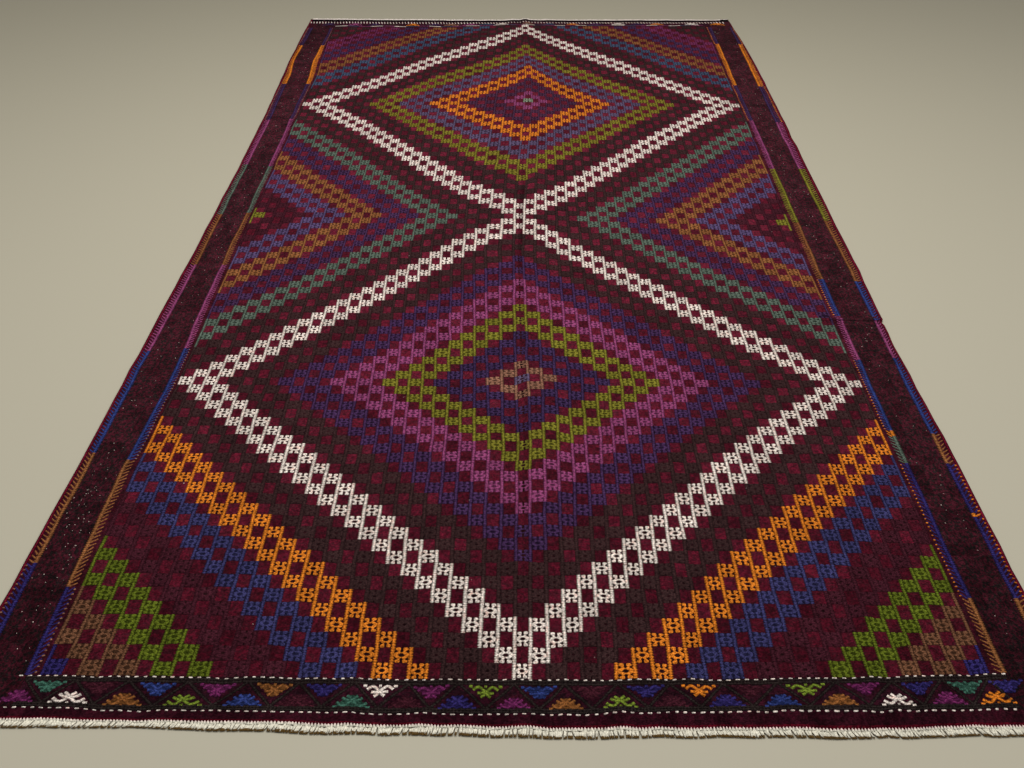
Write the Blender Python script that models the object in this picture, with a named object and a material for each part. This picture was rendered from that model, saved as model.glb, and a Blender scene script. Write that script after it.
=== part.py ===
"""A long flat-woven kilim rug that lies on a floor, with a short cut warp fringe at each end.

X runs across the rug, Y along it from the near end to the far end, and Z is up.
The tables are in millimetres, measured on the floor from a point below the near fringe,
and the finished rug is centred over the origin with its underside on z = 0.
"""
import random

import bmesh
import bpy
import numpy as np

MM = 0.001

# ---------------------------------------------------------------- driving sizes, in mm
CLOTH_THICKNESS = 2.4
CORD_WIDTH = 6.8          # one lengthwise wrapped cord of the field
SIDE_LINE_WIDTH = 11.0    # one of the wider lines beside the border strips
CORD_RISE = 0.9           # how far cords and lines stand above the cloth
CROWN_SHARE = 0.45        # flat top of a cord, as a share of its width
CORD_END = 3.0            # length over which a cord's end slopes down
CREASE_SHOULDER = 5.0     # half the width of the old fold's crest
CREASE_SPREAD = 9.0       # how far the fold's ridge spreads to each side
PIECE_GAP = 0.3           # between the cloth's end and the fringe beside it
STRIP_DEPTH = 4.0         # the narrow strip that holds the locks' roots
ROOT_THICKNESS = 1.9
TIP_THICKNESS = 1.2
GAP_SHARE = 0.18          # empty share of one lock's pitch
TIP_TAPER = 0.12          # how much narrower a lock is at its tip
TIP_WANDER = 0.5          # largest random shift of a tip, sideways
LENGTH_WANDER = 1.3       # largest random change of a lock's length
FAR_FRINGE = 19.0         # from the far end of the cloth to the tips
SEED = 5

# ---------------------------------------------------------------- measured shape, in mm
# The two long edges.
SIDE_EDGES = (
    # y, left x, right x
    (20, -812, 817),
    (300, -807, 826),
    (600, -803, 828),
    (1000, -802, 822),
    (1300, -800, 832),
    (1900, -800, 838),
    (2400, -808, 844),
    (2750, -821, 848),
    (3000, -824, 846),
    (3290, -826, 834),
)
# The near end: where the cloth stops, where the fringe is cut off and where the field starts.
NEAR_END = (
    # x, cloth y, fringe y, field y
    (-812, 31, 17, 105),
    (-690, 28, 13, 105),
    (-550, 28, 16, 105),
    (-300, 27, 11, 105),
    (100, 23, 7, 105),
    (300, 26, 11, 111),
    (480, 25, 11, 116),
    (640, 33, 17, 120),
    (817, 37, 21, 125),
)
# The far end: where the field stops and where the cloth does.
FAR_END = (
    # x, field y, cloth y
    (-826, 3168, 3266),
    (-650, 3170, 3265),
    (-250, 3178, 3266),
    (-60, 3190, 3270),
    (-25, 3194, 3279),
    (20, 3196, 3278),
    (250, 3205, 3279),
    (450, 3210, 3285),
    (700, 3215, 3290),
    (834, 3216, 3295),
)
# The 54 lengthwise cords of the field: places of some of them, with the rest spread between.
CORD_NUMBERS = (0, 8, 16, 24, 26, 27, 32, 40, 44, 53)
CORD_PLACES = (
    # y, then x of each numbered cord
    (105, -693, -475, -257, -48, 4, 29, 158, 368, 480, 708),
    (835, -688, -482, -270, -55, 3, 29, 168, 371, 472, 710),
    (1570, -693, -480, -285, -70, -3, 20, 163, 368, 475, 710),
    (2370, -700, -482, -285, -45, 15, 41, 164, 371, 480, 722),
    (3065, -718, -496, -275, -30, 13, 36, 152, 375, 484, 728),
)
# The four wider lines of the side borders.
SIDE_LINES = (
    # y, outer left, inner left, inner right, outer right
    (105, -790, -718, 731, 805),
    (1400, -786, -713, 735, 814),
    (1900, -785, -712, 738, 822),
    (2650, -796, -721, 744, 827),
    (2900, -805, -733, 746, 830),
)
# Height of the old fold that runs up the middle.
CREASE_HEIGHTS = (
    # y, height
    (20, 0.8),
    (600, 1.4),
    (860, 2.4),
    (1200, 1.2),
    (2400, 1.4),
    (3100, 2.2),
    (3280, 3.6),
)
# Stations along the field, as shares of its length.
STATIONS = (0.0, 0.1, 0.2, 0.3, 0.42, 0.54, 0.66, 0.78, 0.9, 1.0)

CORD_COUNT = CORD_NUMBERS[-1] + 1
CREASE_CORD = 26          # the fold lies between this cord and the next


def read(table, at, column):
    """Value of a table's column at a place between its rows."""
    places = [row[0] for row in table]
    return float(np.interp(at, places, [row[column] for row in table]))


def cord_centres(y):
    """Place across the rug of every field cord at one y."""
    known = [read(CORD_PLACES, y, column + 1) for column in range(len(CORD_NUMBERS))]
    return np.interp(range(CORD_COUNT), CORD_NUMBERS, known)


def raised_bands(y):
    """Centre and width of each raised line at one y, from left to right."""
    cords = [(x, CORD_WIDTH) for x in cord_centres(y)]
    lines = [(read(SIDE_LINES, y, column), SIDE_LINE_WIDTH) for column in range(1, 5)]
    return lines[:2] + cords + lines[2:]


def field_columns(y):
    """Places across the rug and rises of the columns that shape the raised lines at one y."""
    columns = [(read(SIDE_EDGES, y, 1), 0.0)]
    bands = raised_bands(y)
    first_cord = 2
    for number, (centre, width) in enumerate(bands):
        half = width / 2
        crown = half * CROWN_SHARE
        columns += [(centre - half, 0.0), (centre - crown, CORD_RISE)]
        columns += [(centre + crown, CORD_RISE), (centre + half, 0.0)]
        if number == first_cord + CREASE_CORD:
            middle = crease_place(y)
            columns += [(middle - CREASE_SHOULDER, 0.0), (middle + CREASE_SHOULDER, 0.0)]
    columns.append((read(SIDE_EDGES, y, 2), 0.0))
    return columns


def crease_place(y):
    """Place across the rug of the old fold."""
    cords = cord_centres(y)
    return (cords[CREASE_CORD] + cords[CREASE_CORD + 1]) / 2


def crease_rise(x, y):
    """How much the old fold lifts the cloth's face at one point."""
    away = max(0.0, abs(x - crease_place(y)) - CREASE_SHOULDER)
    return read(CREASE_HEIGHTS, y, 1) * float(np.exp(-(away / CREASE_SPREAD) ** 2))


def end_points(table, column, corner_y):
    """Points of a cloth end: wide cells for the locks and narrow ones for the gaps between."""
    left, right = read(SIDE_EDGES, corner_y, 1), read(SIDE_EDGES, corner_y, 2)
    cells = len(field_columns(corner_y)) - 1
    widths = [GAP_SHARE if cell % 2 else 1.0 - GAP_SHARE for cell in range(cells)]
    shares = np.concatenate(([0.0], np.cumsum(widths))) / sum(widths)
    across = left + shares * (right - left)
    return [(float(x), read(table, x, column)) for x in across]


def cloth_rows():
    """Rows of (x, y, height) from the near end of the cloth to the far end."""
    near, far = end_points(NEAR_END, 1, 20), end_points(FAR_END, 2, 3290)
    rows = [[(x, y, CLOTH_THICKNESS + crease_rise(x, y)) for x, y in near]]
    starts = [(0.0, -CORD_END, 0.0)] + [(share, 0.0, 1.0) for share in STATIONS] + [(1.0, CORD_END, 0.0)]
    for share, shift, raised in starts:
        middle = read(NEAR_END, 0, 3) * (1 - share) + read(FAR_END, 0, 1) * share
        row = []
        for x, rise in field_columns(middle):
            y = read(NEAR_END, x, 3) * (1 - share) + read(FAR_END, x, 1) * share + shift
            row.append((x, y, CLOTH_THICKNESS + rise * raised + crease_rise(x, y)))
        rows.append(row)
    rows.append([(x, y, CLOTH_THICKNESS + crease_rise(x, y)) for x, y in far])
    return rows


def shaped_grid(rows):
    """A grid primitive whose points are moved to the given rows of (x, y, z) in mm."""
    bm = bmesh.new()
    across, along = len(rows[0]) - 1, len(rows) - 1
    bmesh.ops.create_grid(bm, x_segments=across, y_segments=along, size=1.0)
    cells = {}
    for vert in bm.verts:
        column = round((vert.co.x + 1) / 2 * across)
        row = round((vert.co.y + 1) / 2 * along)
        vert.co = [value * MM for value in rows[row][column]]
        cells[vert] = (column, row)
    return bm, cells


def finished(name, bm, material):
    """Make the object of a closed mesh, with its faces pointing out."""
    bmesh.ops.recalc_face_normals(bm, faces=bm.faces)
    mesh = bpy.data.meshes.new(name)
    bm.to_mesh(mesh)
    bm.free()
    mesh.materials.append(material)
    rug = bpy.data.objects.new(name, mesh)
    return rug


def build_cloth(material):
    """The woven cloth: cords, side lines and the old fold above a flat underside."""
    bm, _ = shaped_grid(cloth_rows())
    rim = [edge for edge in bm.edges if edge.is_boundary]
    walls = bmesh.ops.extrude_edge_only(bm, edges=rim)["geom"]
    for part in walls:
        if isinstance(part, bmesh.types.BMVert):
            part.co.z = 0.0
    bottom_rim = [edge for edge in bm.edges if edge.is_boundary]
    underside = bmesh.ops.contextual_create(bm, geom=bottom_rim)["faces"]
    bmesh.ops.triangulate(bm, faces=underside, ngon_method="BEAUTY")
    return finished("kilim_cloth", bm, material)


def build_fringe(name, edge, tips, outward, material):
    """A comb of cut warp locks, their roots joined by a narrow strip beside the cloth's end."""
    chance = random.Random(SEED + outward)
    back = [(x, y + outward * PIECE_GAP, ROOT_THICKNESS) for x, y in edge]
    front = [(x, y + outward * STRIP_DEPTH, ROOT_THICKNESS) for x, y, _ in back]
    ends = []
    for first in range(0, len(edge), 2):
        left, right = edge[first][0], edge[first + 1][0]
        narrowing = (right - left) * TIP_TAPER / 2
        shift = chance.uniform(-TIP_WANDER, TIP_WANDER)
        reach = tips[first] + outward * chance.uniform(-LENGTH_WANDER, 0.0)
        ends.append((left + narrowing + shift, reach, TIP_THICKNESS))
        ends.append((right - narrowing + shift, reach, TIP_THICKNESS))
    bm, cells = shaped_grid([back, front, ends])
    spaces = []
    for face in bm.faces:
        lowest = min(cells[vert] for vert in face.verts)
        between_locks = lowest[0] % 2 == 1
        beyond_strip = min(cells[vert][1] for vert in face.verts) == 1
        if between_locks and beyond_strip:
            spaces.append(face)
    bmesh.ops.delete(bm, geom=spaces, context="FACES")
    lower = bmesh.ops.extrude_face_region(bm, geom=bm.faces[:])["geom"]
    for part in lower:
        if isinstance(part, bmesh.types.BMVert):
            part.co.z = 0.0
    return finished(name, bm, material)


def yarn_material(name, colour, roughness):
    """A plain wool or cotton colour."""
    material = bpy.data.materials.new(name)
    material.use_nodes = True
    surface = material.node_tree.nodes["Principled BSDF"]
    surface.inputs["Base Color"].default_value = (*colour, 1.0)
    surface.inputs["Roughness"].default_value = roughness
    surface.inputs["Metallic"].default_value = 0.0
    material.diffuse_color = (*colour, 1.0)
    return material


def centre_over_floor(pieces):
    """Move the meshes so that the rug's bounding box is centred over the origin."""
    points = np.array([vert.co[:] for piece in pieces for vert in piece.data.vertices])
    middle = (points.min(axis=0) + points.max(axis=0)) / 2
    for piece in pieces:
        for vert in piece.data.vertices:
            vert.co.x -= middle[0]
            vert.co.y -= middle[1]


def main():
    for leftover in list(bpy.data.objects):
        bpy.data.objects.remove(leftover, do_unlink=True)
    collection = bpy.data.collections.new("kilim_rug")
    bpy.context.scene.collection.children.link(collection)
    maroon = yarn_material("maroon_wool", (0.09, 0.012, 0.022), 0.95)
    natural = yarn_material("natural_warp", (0.62, 0.58, 0.47), 0.9)
    near_edge = end_points(NEAR_END, 1, 20)
    far_edge = end_points(FAR_END, 2, 3290)
    near_tips = [read(NEAR_END, x, 2) for x, _ in near_edge]
    far_tips = [y + FAR_FRINGE for _, y in far_edge]
    pieces = [
        build_cloth(maroon),
        build_fringe("fringe_near", near_edge, near_tips, -1, natural),
        build_fringe("fringe_far", far_edge, far_tips, 1, natural),
    ]
    centre_over_floor(pieces)
    for piece in pieces:
        collection.objects.link(piece)


main()
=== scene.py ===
# %% [markdown]
# # A kilim rug, stitch by stitch
# A kilim is a flat-woven rug without pile. This one has a dark red ground, and its pattern is
# wrapped on top of the ground with thicker coloured yarns: lengthwise cords, and between them
# small hooked cells that build large diamonds. It could be one flat sheet with a pattern in its
# material, but the raised yarns catch the light and hide the ground beside them, so each yarn is
# modelled. We plan everything on a straight loom plan, repeat it with Geometry Nodes, and lay it
# down at the end where the real weave lies.

import math
from collections import defaultdict

import bmesh
import bpy
import numpy as np
from mathutils import Matrix, Vector


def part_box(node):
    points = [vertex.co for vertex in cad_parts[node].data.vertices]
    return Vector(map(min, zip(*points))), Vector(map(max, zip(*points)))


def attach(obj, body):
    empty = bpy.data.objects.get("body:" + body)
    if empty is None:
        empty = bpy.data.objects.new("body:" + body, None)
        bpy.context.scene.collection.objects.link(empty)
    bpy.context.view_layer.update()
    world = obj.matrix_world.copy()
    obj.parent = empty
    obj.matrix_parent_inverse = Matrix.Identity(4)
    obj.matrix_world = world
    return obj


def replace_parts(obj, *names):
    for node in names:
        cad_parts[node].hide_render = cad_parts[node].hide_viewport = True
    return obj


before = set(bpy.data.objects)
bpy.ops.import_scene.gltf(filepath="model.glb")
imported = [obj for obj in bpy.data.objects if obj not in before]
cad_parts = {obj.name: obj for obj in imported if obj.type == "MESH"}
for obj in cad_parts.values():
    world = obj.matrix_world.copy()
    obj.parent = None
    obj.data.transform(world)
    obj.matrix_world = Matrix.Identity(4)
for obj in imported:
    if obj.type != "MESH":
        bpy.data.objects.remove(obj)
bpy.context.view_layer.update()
print("nodes:", sorted(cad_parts))

# %% [markdown]
# ## The loom plan
# On a loom the rug is a regular grid: 53 columns between 54 wrapped cords, and 105 rows of
# cells. In the plan every column and every row has the same size, so the pattern can be written
# with whole numbers. All plan sizes are in millimetres, with x = 0 on the rug's middle line and
# y = 0 where the field starts, after the near end band.

# %% Plan sizes, in millimetres
MM = 0.001
COLUMNS, ROWS = 53, 105
CORD_PITCH, ROW_PITCH = 26.4, 29.4
HALF_FIELD = COLUMNS * CORD_PITCH / 2
FIELD_END = ROWS * ROW_PITCH
CLOTH_THICKNESS = 2.4

INNER_LINE = HALF_FIELD + 25      # the two lines beside each border strip
OUTER_LINE = HALF_FIELD + 98
CLOTH_SIDE = HALF_FIELD + 119

NEAR_DASHES = -60                 # lower row of white dashes in the near end band
NEAR_EDGE = -80                   # the cloth's near end
NEAR_TIPS = -96                   # the near fringe's cut tips
FAR_STRIP = FIELD_END + 52        # start of the plain dark strip at the far end
FAR_EDGE = FIELD_END + 76
FAR_TIPS = FIELD_END + 107


def cord_x(number):
    """Plan place of a cord, counted from 0 at the left; a column's middle is at number + 0.5."""
    return number * CORD_PITCH - HALF_FIELD


def row_y(row):
    """Plan place of the lower edge of a row of cells."""
    return row * ROW_PITCH


print("field:", round(2 * HALF_FIELD), "x", round(FIELD_END), "mm")

# %% [markdown]
# ## Where the weave really lies
# Hand weaving is never straight. Random waves could bend the plan a little, but then the cords,
# rows and edges would miss their real places. So the tables below give measured places on the
# floor for some of them, in millimetres from a point under the near fringe, and between them we
# interpolate. This keeps the pattern's logic and the rug's unevenness apart, and every piece that
# goes through the same function fits its neighbours.

# %% Measured places across the rug
SIDE_EDGES = (
    # y, left x, right x
    (20, -812, 817), (300, -807, 826), (600, -803, 828), (1000, -802, 822), (1075, -802, 824),
    (1086, -802, 821), (1096, -802, 827), (1300, -800, 832), (1900, -800, 838),
    (2400, -808, 844), (2750, -821, 848), (3000, -824, 846), (3290, -826, 834),
)
SIDE_LINES = (
    # y, outer left, inner left, inner right, outer right
    (105, -788, -714, 732, 806), (480, -787, -717, 731, 808), (560, -786, -717, 731, 808),
    (800, -785, -706, 730, 807), (880, -785, -706, 730, 807), (1190, -779, -713, 731, 810),
    (1680, -780, -713, 737, 813), (2200, -783, -715, 741, 815), (2620, -793, -720, 741, 822),
    (2790, -808, -733, 746, 825), (3050, -803, -730, 748, 828),
)
CORD_NUMBERS = (0, 8, 16, 20, 22, 24, 26, 27, 32, 36, 40, 44, 48, 53)
CORD_PLACES = (
    # y, then x of each numbered cord
    (105, -693, -475, -257, -152, -100, -48, 4, 29, 158, 263, 368, 480, 581, 708),
    (650, -690, -480, -262, -157, -103, -48, 8, 31, 165, 267, 370, 475, 588, 709),
    (835, -688, -482, -268, -163, -109, -55, 3, 29, 168, 270, 371, 472, 590, 710),
    (1400, -693, -481, -290, -186, -133, -77, -6, 17, 163, 267, 370, 474, 576, 708),
    (1720, -695, -481, -287, -184, -133, -68, -3, 23, 163, 267, 368, 475, 578, 712),
    (2370, -698, -479, -286, -166, -106, -42, 20, 45, 164, 268, 371, 480, 584, 720),
    (2650, -697, -475, -281, -158, -96, -34, 25, 47, 157, 261, 371, 477, 578, 721),
    (3000, -715, -493, -275, -151, -84, -31, 13, 36, 152, 253, 375, 481, 586, 723),
)


def column(table, number):
    """One column of a table, with the places of its rows."""
    return [row[0] for row in table], [row[number] for row in table]


across = [(-CLOTH_SIDE, column(SIDE_EDGES, 1)), (-OUTER_LINE, column(SIDE_LINES, 1)),
          (-INNER_LINE, column(SIDE_LINES, 2))]
for place, number in enumerate(CORD_NUMBERS):
    across.append((cord_x(number), column(CORD_PLACES, place + 1)))
across += [(INNER_LINE, column(SIDE_LINES, 3)), (OUTER_LINE, column(SIDE_LINES, 4)),
           (CLOTH_SIDE, column(SIDE_EDGES, 2))]
print(len(across), "measured lines run along the rug")

# %% Measured places along the rug
ROW_CURVES = (
    # plan y, then measured (x, y) pairs along that row
    (NEAR_TIPS, ((-812, 17), (-690, 13), (-550, 16), (-300, 11), (100, 7), (300, 11), (480, 11),
        (640, 17), (817, 21))),
    (NEAR_EDGE, ((-812, 31), (-690, 28), (-550, 28), (-300, 27), (100, 23), (300, 26), (480, 25),
        (640, 33), (817, 37))),
    (NEAR_DASHES, ((-812, 50), (-730, 48), (-600, 45), (-550, 43), (-300, 43), (90, 44), (170, 48),
        (250, 51), (450, 56), (600, 58), (817, 64))),
    (row_y(0), ((-812, 104), (-450, 103), (100, 105), (290, 110), (450, 114), (570, 118),
        (735, 125))),
    (row_y(8), ((-690, 336), (-480, 338), (-260, 334), (-100, 337), (15, 340), (130, 343),
        (290, 341), (500, 340), (708, 335))),
    (row_y(19), ((-690, 640), (-300, 641), (-35, 657), (-5, 653), (18, 655), (43, 665), (70, 663),
        (110, 649), (170, 648), (230, 651), (290, 655), (500, 655))),
    (row_y(26), ((-250, 828), (-110, 826), (-40, 838), (3, 835), (28, 850), (75, 850), (165, 838),
        (272, 835), (500, 835), (697, 838))),
    (row_y(30), ((-690, 933), (-480, 936), (-160, 934), (-40, 942), (60, 945), (120, 940),
        (200, 937), (320, 936), (640, 934))),
    (row_y(33), ((-690, 1020), (-250, 1022), (0, 1033), (50, 1033), (165, 1024), (400, 1019),
        (700, 1017))),
    (row_y(44), ((-690, 1322), (-600, 1323), (-440, 1329), (-228, 1328), (-171, 1330), (0, 1345),
        (178, 1318), (380, 1320), (590, 1320), (700, 1318))),
    (row_y(48), ((-690, 1438), (-520, 1444), (-300, 1446), (-120, 1460), (62, 1458), (90, 1444),
        (150, 1428), (278, 1437), (565, 1430), (700, 1426))),
    (row_y(52), ((-690, 1568), (-370, 1573), (-170, 1570), (10, 1572), (175, 1562), (380, 1553),
        (490, 1553), (695, 1548))),
    (row_y(56), ((-690, 1683), (-300, 1684), (-120, 1685), (-90, 1691), (-15, 1693), (10, 1687),
        (40, 1690), (65, 1685), (90, 1677), (120, 1673), (230, 1674), (700, 1674))),
    (row_y(60), ((-690, 1797), (-570, 1800), (-420, 1798), (-150, 1798), (-60, 1812), (-25, 1820),
        (0, 1803), (22, 1803), (45, 1828), (75, 1815), (130, 1800), (400, 1804), (700, 1801))),
    (row_y(64), ((-690, 1928), (-330, 1934), (-120, 1935), (-60, 1945), (10, 1950), (60, 1956),
        (130, 1950), (280, 1931), (700, 1928))),
    (row_y(71), ((-690, 2145), (-470, 2148), (-270, 2156), (-150, 2160), (0, 2184), (60, 2184),
        (120, 2175), (220, 2162), (430, 2161), (700, 2159))),
    (row_y(78), ((-685, 2353), (-470, 2357), (-270, 2370), (-150, 2375), (0, 2398), (60, 2398),
        (170, 2378), (275, 2372), (710, 2370))),
    (row_y(88), ((-690, 2663), (-480, 2669), (-150, 2677), (-60, 2686), (0, 2694), (15, 2712),
        (40, 2722), (60, 2706), (80, 2696), (110, 2683), (160, 2677), (440, 2672), (700, 2668))),
    (row_y(94), ((-715, 2857), (-260, 2855), (-70, 2864), (-20, 2872), (10, 2878), (40, 2876),
        (100, 2872), (500, 2868), (720, 2862))),
    (row_y(100), ((-650, 3030), (-600, 3036), (-480, 3042), (-400, 3046), (-280, 3046),
        (-230, 3050), (-200, 3056), (-150, 3062), (-100, 3062), (-20, 3072), (0, 3064), (22, 3070),
        (45, 3066), (70, 3058), (95, 3053), (700, 3056))),
    (row_y(105), ((-650, 3170), (-250, 3178), (-150, 3193), (-50, 3212), (25, 3213), (47, 3212),
        (70, 3205), (250, 3206), (700, 3215))),
    (FAR_STRIP, ((-826, 3245), (-720, 3243), (-650, 3249), (-560, 3245), (-100, 3248), (-50, 3252),
        (-25, 3262), (0, 3259), (30, 3262), (200, 3258), (330, 3264), (450, 3268), (600, 3267),
        (740, 3275), (830, 3280))),
    (FAR_EDGE, ((-826, 3272), (-650, 3271), (-250, 3272), (-60, 3276), (-25, 3285), (20, 3284),
        (250, 3285), (450, 3291), (700, 3296), (834, 3301))),
    (FAR_TIPS, ((-826, 3304), (-650, 3303), (-250, 3304), (-60, 3308), (-25, 3317), (20, 3316),
        (250, 3317), (450, 3323), (700, 3328), (834, 3333))),
)
CREASE_HEIGHTS = (
    # y, height of the old fold that runs up the middle
    (20, 0.8), (600, 1.4), (860, 2.4), (1200, 1.2), (2400, 1.4), (3100, 2.2), (3280, 3.6),
)
CREASE_SHOULDER, CREASE_SPREAD = 5.0, 9.0      # flat half of its top, and its soft flank
CROSS_FOLD_Y, CROSS_FOLD_START = 1094, 640     # measured place of the fold across the right border
CROSS_FOLD_FADE, CROSS_FOLD_SPREAD, CROSS_FOLD_HEIGHT = 60, 7.0, 2.6
print(len(ROW_CURVES), "measured rows cross the rug")

# %% [markdown]
# ## Laying the plan down
# `lay` takes points of the plan and returns where they lie in the frame. It bends the columns
# first, then the rows, adds a small seeded shake so that no two cells are quite alike, and
# lifts what lies on the old fold up the rug's middle or on the short one across its right border.
# A lattice modifier could bend the meshes too, but a function works on every kind of mesh alike
# and takes the measured numbers as they are.

# %% The shake of a hand-woven grid
SHAKE_ACROSS, SHAKE_ALONG = 0.9, 1.2
SHAKE_SEED = 11
MARGIN = 8                        # spare grid points around the field
chance = np.random.default_rng(SHAKE_SEED)
shake = chance.normal(0, 1, (2, ROWS + 2 * MARGIN, COLUMNS + 2 * MARGIN))


def sample(grid, across_at, along_at):
    """Read a grid of numbers between its points."""
    rows, columns = grid.shape
    i = np.clip(np.floor(across_at).astype(int), 0, columns - 2)
    j = np.clip(np.floor(along_at).astype(int), 0, rows - 2)
    s = np.clip(across_at - i, 0, 1)
    t = np.clip(along_at - j, 0, 1)
    low = grid[j, i] * (1 - s) + grid[j, i + 1] * s
    high = grid[j + 1, i] * (1 - s) + grid[j + 1, i + 1] * s
    return low * (1 - t) + high * t


print("one shaken point for each corner of", COLUMNS, "x", ROWS, "cells")

# %% Reading the tables
ACROSS_PLACES = [place for place, _ in across]
ROW_PLACES = [place for place, _ in ROW_CURVES]
OLD_FOLD_CORDS = (26, 27)         # the old fold runs halfway between these two


def lines_through(y):
    """Measured x of every measured line at each y."""
    return [np.interp(y, *line) for _, line in across]


def rows_through(x):
    """Measured y of every measured row at each x."""
    return [np.interp(x, *zip(*pairs)) for _, pairs in ROW_CURVES]


def between(stations, curves, at):
    """Blend the curves of the two stations on either side of each point."""
    stations = np.array(stations, float)
    low = np.clip(np.searchsorted(stations, at, side="right") - 1, 0, len(stations) - 2)
    share = np.clip((at - stations[low]) / (stations[low + 1] - stations[low]), 0, 1)
    curves = np.array(curves)
    points = np.arange(len(at))
    return curves[low, points] * (1 - share) + curves[low + 1, points] * share


def crease_place(y):
    """Measured x of the old fold."""
    left, right = (np.interp(y, *column(CORD_PLACES, 1 + CORD_NUMBERS.index(number)))
                   for number in OLD_FOLD_CORDS)
    return (left + right) / 2


print("the old fold crosses the first row at x =", round(float(crease_place(row_y(0)))))

# %% The lay function
cloth_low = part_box("kilim_cloth")[0]
LOWEST_EDGE = min(y for x, y in dict(ROW_CURVES)[NEAR_EDGE])
LEFTMOST_EDGE = min(row[1] for row in SIDE_EDGES)
SHIFT = (cloth_low.x - LEFTMOST_EDGE * MM, cloth_low.y - LOWEST_EDGE * MM)


def fold_lift(x, y):
    """How high the two folds stand at measured places."""
    away = np.maximum(0, np.abs(x - crease_place(y)) - CREASE_SHOULDER)
    ridge = np.interp(y, *column(CREASE_HEIGHTS, 1)) * np.exp(-(away / CREASE_SPREAD) ** 2)
    side_fold = CROSS_FOLD_HEIGHT * np.exp(-((y - CROSS_FOLD_Y) / CROSS_FOLD_SPREAD) ** 2)
    return ridge + side_fold * np.clip((x - CROSS_FOLD_START) / CROSS_FOLD_FADE, 0, 1)


def lay(points):
    """Turn plan points (x, y, height) in mm into places in the frame, in metres."""
    plan_across, plan_along, height = np.asarray(points, float).T
    columns_at = plan_across / CORD_PITCH + COLUMNS / 2 + MARGIN
    rows_at = plan_along / ROW_PITCH + MARGIN
    rough_y = between(ROW_PLACES, rows_through(plan_across), plan_along)
    x = between(ACROSS_PLACES, lines_through(rough_y), plan_across)
    x += SHAKE_ACROSS * sample(shake[0][::2], columns_at, rows_at / 2)
    y = between(ROW_PLACES, rows_through(x), plan_along)
    y += SHAKE_ALONG * sample(shake[1], columns_at, rows_at)
    z = height + fold_lift(x, y) * np.clip(height / CLOTH_THICKNESS, 0, 1)
    return np.column_stack((x * MM + SHIFT[0], y * MM + SHIFT[1], z * MM))


print("plan middle lies at", np.round(lay([(0, FIELD_END / 2, 0)])[0], 3))

# %% [markdown]
# ## The pattern
# Every second cell of the grid is worked, as on a chess board. The pattern could be charted cell
# by cell, but a rule is shorter and can't slip: a cell's yarn depends only on how many steps it
# is from the middle of its diamond, counted along columns plus rows, which draws diamonds by
# itself. Two large diamonds lie along the middle. Half diamonds fill the sides between them, and
# four quarter diamonds fill the corners.

# %% Bands of yarn, from the middle of each diamond outwards
BEYOND = 99                       # more steps than any cell is away
NEAR_DIAMOND = (
    # last step of the band, yarn
    (0, "slate"), (2, "tan"), (6, "navy"), (10, "lime"), (14, "magenta"), (18, "blue_violet"),
    (22, "soot"), (26, "ivory"), (30, "soot"), (34, "orange"), (38, "royal_blue"), (42, "maroon"),
    (46, "leaf_green"), (50, "brown"), (BEYOND, "violet"),
)
FAR_DIAMOND = (
    (0, "sage"), (2, "magenta"), (6, "aubergine"), (10, "orange"), (14, "slate"), (18, "olive"),
    (22, "soot"), (26, "ivory"), (30, "soot"), (34, "sea_blue"), (38, "ochre"), (42, "indigo"),
    (46, "plum"), (BEYOND, "soot"),
)
SIDE_DIAMOND = (
    (1, "lime"), (4, "maroon"), (8, "periwinkle"), (12, "amber"), (16, "indigo"), (20, "teal"),
    (24, "soot"), (BEYOND, "ivory"),
)
MIDDLE_COLUMN, NEAR_ROW, SIDE_ROW, FAR_ROW = 26, 26, 52, 78
TO_TIP = 26                       # steps from a large diamond's middle to its tips


def band_yarn(bands, steps):
    """The yarn of the first band that reaches this many steps."""
    return next(yarn for last, yarn in bands if steps <= last)


def yarn_at(col, row):
    """The yarn of the worked cell in one column and row."""
    aside = abs(col - MIDDLE_COLUMN)
    near_steps = aside + abs(row - NEAR_ROW)
    far_steps = aside + abs(row - FAR_ROW)
    if near_steps <= TO_TIP or row < NEAR_ROW:
        return band_yarn(NEAR_DIAMOND, near_steps)
    if far_steps <= TO_TIP or row > FAR_ROW:
        return band_yarn(FAR_DIAMOND, far_steps)
    return band_yarn(SIDE_DIAMOND, MIDDLE_COLUMN - aside + abs(row - SIDE_ROW))


cells = defaultdict(list)
for row in range(ROWS):
    for col in range(COLUMNS):
        if (col + row) % 2 == 0:
            cells[yarn_at(col, row)].append((cord_x(col + 0.5), row_y(row + 0.5)))
print({yarn: len(places) for yarn, places in cells.items()})

# %% [markdown]
# ## Cords
# A cord runs between each pair of columns and along both sides of the field. In every row only one
# of its two neighbours is a worked cell, and the cord is wrapped with that cell's yarn; past the
# sides the rule for cells simply runs on. Each row could be a piece of cord of its own, but then
# every join would show. So rows of one yarn that follow each other make one run, which becomes one
# line for Geometry Nodes to wrap.

# %% Runs of one yarn along each cord
cords = defaultdict(list)
for number in range(COLUMNS + 1):
    wrapped = [yarn_at(number if (number + row) % 2 == 0 else number - 1, row) for row in range(ROWS)]
    start = 0
    for row in range(1, ROWS + 1):
        if row == ROWS or wrapped[row] != wrapped[start]:
            run = [(cord_x(number), row_y(start)), (cord_x(number), row_y(row))]
            cords[wrapped[start]].append(run)
            start = row
print(sum(len(runs) for runs in cords.values()), "runs of wrapped cord")

# %% [markdown]
# ## The lines of the side borders
# A wider line runs on each side of both border strips. Its yarn changes every few hundred
# millimetres, and short slanted ticks stand on one side of it. Where the line is dark blue a row
# of small light dots follows its ticks. The changes follow no rule, so tables give the measured y
# where each yarn ends, and the loop only fills in the ticks and dots.

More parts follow.
